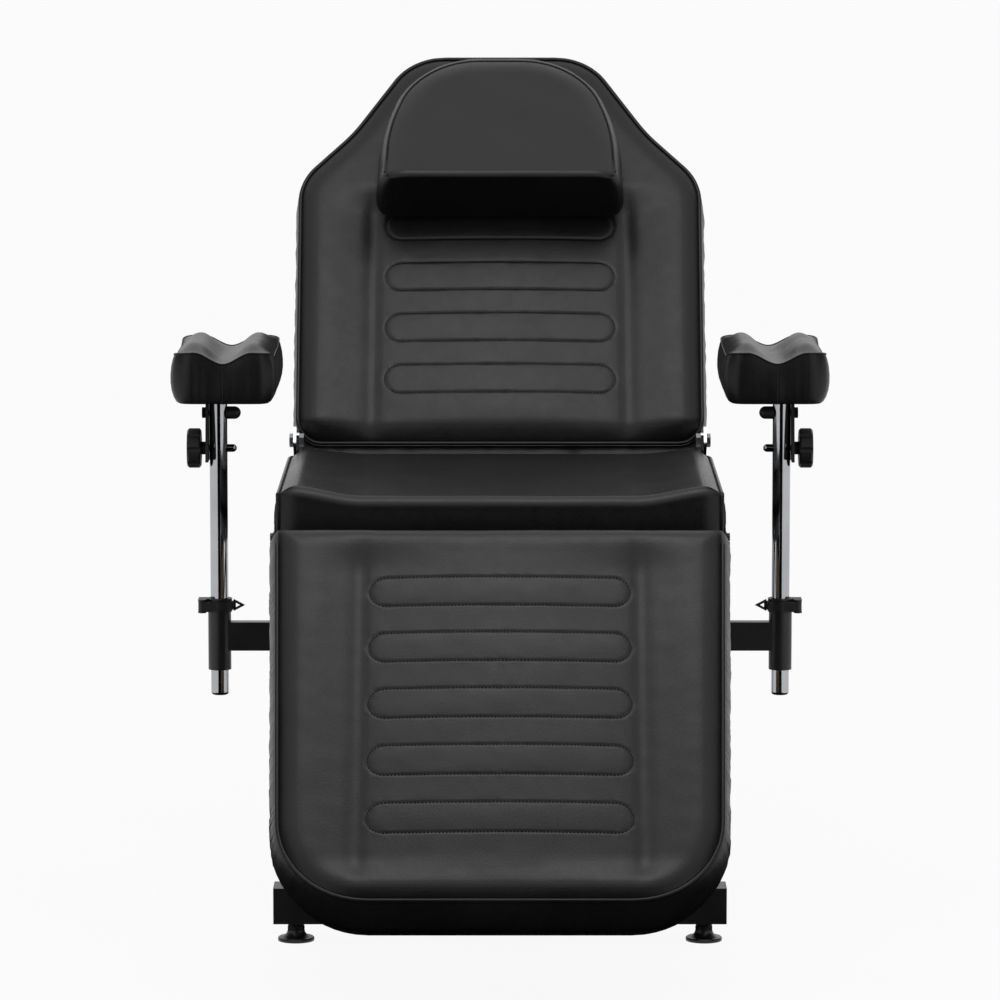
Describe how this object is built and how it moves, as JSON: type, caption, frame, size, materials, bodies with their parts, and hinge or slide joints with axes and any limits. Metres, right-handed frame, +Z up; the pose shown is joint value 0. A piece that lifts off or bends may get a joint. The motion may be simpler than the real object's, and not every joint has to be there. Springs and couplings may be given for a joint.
{
  "type": "tattoo chair",
  "caption": "Padded client chair with a tilting back and leg rest, a loose head pillow, adjustable forearm rests and a lifting column.",
  "frame": {"origin": "on the floor, under the middle of the whole chair's box", "axes": "+Z up, -Y towards the foot end, +X to the sitter's left"},
  "size_m": [0.9, 1.435, 1.1734],
  "materials": {
    "upholstery": "soft satin",
    "black_paint": "satin",
    "chrome": "polished",
    "zinc": "zinc plated",
    "plywood": "bare",
    "black_plastic": "fine texture",
    "black_rubber": "matte",
    "black_foot": "satin"
  },
  "bodies": {
    "root": {"base_front_beam": "black_paint", "base_rear_beam": "black_paint", "base_rails": "black_paint", "base_end_caps": "black_plastic", "base_fasteners": "zinc", "column_plate": "black_paint", "column_case": "black_paint", "pump_body": "black_paint"},
    "pedal": {"pedal_arm": "black_paint", "pedal_tread": "black_rubber"},
    "seat": {"lift_ram": "chrome", "lift_plate": "black_paint", "seat_rails": "black_paint", "seat_members": "black_paint", "seat_board": "plywood", "seat_cushion": "upholstery", "seat_hinge_plates": "chrome", "hinge_bolts": "chrome", "seat_fasteners": "zinc", "arm_brackets": "black_paint", "arm_sockets": "black_paint"},
    "back": {"back_side_tubes": "black_paint", "back_members": "black_paint", "back_hinge_plates": "chrome", "back_strut_pin": "zinc", "back_board": "plywood", "back_cushion": "upholstery"},
    "back_lever": {"back_release_lever": "black_paint"},
    "pillow": {"head_pillow": "upholstery"},
    "leg": {"leg_side_tubes": "black_paint", "leg_members": "black_paint", "leg_hinge_plates": "chrome", "leg_strut_pin": "zinc", "leg_board": "plywood", "leg_cushion": "upholstery"},
    "leg_lever": {"leg_release_lever": "black_paint"},
    "back_strut_case": {"back_strut_case": "black_paint"},
    "back_strut_rod": {"back_strut_rod": "chrome"},
    "leg_strut_case": {"leg_strut_case": "black_paint"},
    "leg_strut_rod": {"leg_strut_rod": "chrome"},
    "foot_front_left": {"foot_front_left": "black_foot"},
    "foot_front_right": {"foot_front_right": "black_foot"},
    "foot_rear_left": {"foot_rear_left": "black_foot"},
    "foot_rear_right": {"foot_rear_right": "black_foot"},
    "arm_collar_left": {"arm_collar_left": "black_plastic"},
    "arm_lever_left": {"arm_lever_left": "black_plastic"},
    "arm_post_left": {"arm_post_left": "chrome", "arm_bolts_left": "chrome"},
    "arm_pad_left": {"arm_tilt_plate_left": "black_paint", "arm_board_left": "plywood", "arm_cushion_left": "upholstery"},
    "arm_knob_left": {"arm_knob_left": "black_plastic"},
    "arm_collar_right": {"arm_collar_right": "black_plastic"},
    "arm_lever_right": {"arm_lever_right": "black_plastic"},
    "arm_post_right": {"arm_post_right": "chrome", "arm_bolts_right": "chrome"},
    "arm_pad_right": {"arm_tilt_plate_right": "black_paint", "arm_board_right": "plywood", "arm_cushion_right": "upholstery"},
    "arm_knob_right": {"arm_knob_right": "black_plastic"}
  },
  "joints": [
    {"name": "lift", "type": "slide", "parent": "root", "child": "seat", "axis": [0, 0, 1], "range_m": [0, 0.18]},
    {"name": "pedal_press", "type": "hinge", "parent": "root", "child": "pedal", "pos_m": [0, 0.19067, 0.165], "axis": [1, 0, 0], "range_deg": [-17, 0], "stiffness_Nm_per_rad": 30, "springref_deg": 17.19},
    {"name": "back_recline", "type": "hinge", "parent": "seat", "child": "back", "pos_m": [0, 0.22867, 0.648], "axis": [1, 0, 0], "range_deg": [-52, 13]},
    {"name": "leg_lift", "type": "hinge", "parent": "seat", "child": "leg", "pos_m": [0, -0.24773, 0.5355], "axis": [1, 0, 0], "range_deg": [-48, 10]},
    {"name": "back_strut_case_tilt", "type": "hinge", "parent": "seat", "child": "back_strut_case", "pos_m": [0.11, 0.15361, 0.36788], "axis": [1, 0, 0], "range_deg": [-26.5, 7]},
    {"name": "back_strut_rod_tilt", "type": "hinge", "parent": "back", "child": "back_strut_rod", "pos_m": [0.11, 0.51124, 0.71324], "axis": [1, 0, 0], "range_deg": [-7, 26.5]},
    {"name": "leg_strut_case_tilt", "type": "hinge", "parent": "seat", "child": "leg_strut_case", "pos_m": [-0.11, -0.00208, 0.48908], "axis": [1, 0, 0], "range_deg": [-24.5, 5.5]},
    {"name": "leg_strut_rod_tilt", "type": "hinge", "parent": "leg", "child": "leg_strut_rod", "pos_m": [-0.11, -0.38753, 0.32824], "axis": [1, 0, 0], "range_deg": [-5.5, 24.5]},
    {"name": "pillow_lift_off", "type": "slide", "parent": "back", "child": "pillow", "axis": [0, -0.788, 0.6157], "range_m": [0, 0.06]},
    {"name": "back_lever_pull", "type": "hinge", "parent": "back", "child": "back_lever", "pos_m": [0, 0.60879, 0.90875], "axis": [1, 0, 0], "range_deg": [0, 10], "stiffness_Nm_per_rad": 1, "springref_deg": -22.92},
    {"name": "leg_lever_pull", "type": "hinge", "parent": "leg", "child": "leg_lever", "pos_m": [0, -0.52246, 0.19078], "axis": [1, 0, 0], "range_deg": [-10, 0], "stiffness_Nm_per_rad": 1, "springref_deg": 22.92},
    {"name": "foot_front_left_level", "type": "slide", "parent": "root", "child": "foot_front_left", "axis": [0, 0, 1], "range_m": [-0.015, 0]},
    {"name": "foot_front_right_level", "type": "slide", "parent": "root", "child": "foot_front_right", "axis": [0, 0, 1], "range_m": [-0.015, 0]},
    {"name": "foot_rear_left_level", "type": "slide", "parent": "root", "child": "foot_rear_left", "axis": [0, 0, 1], "range_m": [-0.015, 0]},
    {"name": "foot_rear_right_level", "type": "slide", "parent": "root", "child": "foot_rear_right", "axis": [0, 0, 1], "range_m": [-0.015, 0]},
    {"name": "arm_swivel_left", "type": "hinge", "parent": "seat", "child": "arm_collar_left", "pos_m": [0.391, -0.02133, 0.4373], "axis": [0, 0, 1], "continuous": true},
    {"name": "arm_lever_left_open", "type": "hinge", "parent": "arm_collar_left", "child": "arm_lever_left", "pos_m": [0.41435, -0.03683, 0.4373], "axis": [0, 0, 1], "range_deg": [0, 80]},
    {"name": "arm_height_left", "type": "slide", "parent": "arm_collar_left", "child": "arm_post_left", "axis": [0, 0, 1], "range_m": [-0.03, 0.07]},
    {"name": "arm_tilt_left", "type": "hinge", "parent": "arm_post_left", "child": "arm_pad_left", "pos_m": [0.391, -0.02133, 0.716], "axis": [1, 0, 0], "range_deg": [-20, 20]},
    {"name": "arm_knob_left_turn", "type": "hinge", "parent": "arm_post_left", "child": "arm_knob_left", "pos_m": [0.391, -0.02133, 0.6665], "axis": [1, 0, 0], "continuous": true},
    {"name": "arm_swivel_right", "type": "hinge", "parent": "seat", "child": "arm_collar_right", "pos_m": [-0.391, -0.02133, 0.4373], "axis": [0, 0, 1], "continuous": true},
    {"name": "arm_lever_right_open", "type": "hinge", "parent": "arm_collar_right", "child": "arm_lever_right", "pos_m": [-0.41435, -0.03683, 0.4373], "axis": [0, 0, 1], "range_deg": [-80, 0]},
    {"name": "arm_height_right", "type": "slide", "parent": "arm_collar_right", "child": "arm_post_right", "axis": [0, 0, 1], "range_m": [-0.03, 0.07]},
    {"name": "arm_tilt_right", "type": "hinge", "parent": "arm_post_right", "child": "arm_pad_right", "pos_m": [-0.391, -0.02133, 0.716], "axis": [1, 0, 0], "range_deg": [-20, 20]},
    {"name": "arm_knob_right_turn", "type": "hinge", "parent": "arm_post_right", "child": "arm_knob_right", "pos_m": [-0.391, -0.02133, 0.6665], "axis": [1, 0, 0], "continuous": true}
  ],
  "couplings": [
    {"joint": "back_strut_case_tilt", "follows": "back_recline", "ratio": 0.5},
    {"joint": "back_strut_rod_tilt", "follows": "back_recline", "ratio": -0.5},
    {"joint": "leg_strut_case_tilt", "follows": "leg_lift", "ratio": 0.5},
    {"joint": "leg_strut_rod_tilt", "follows": "leg_lift", "ratio": -0.5}
  ]
}
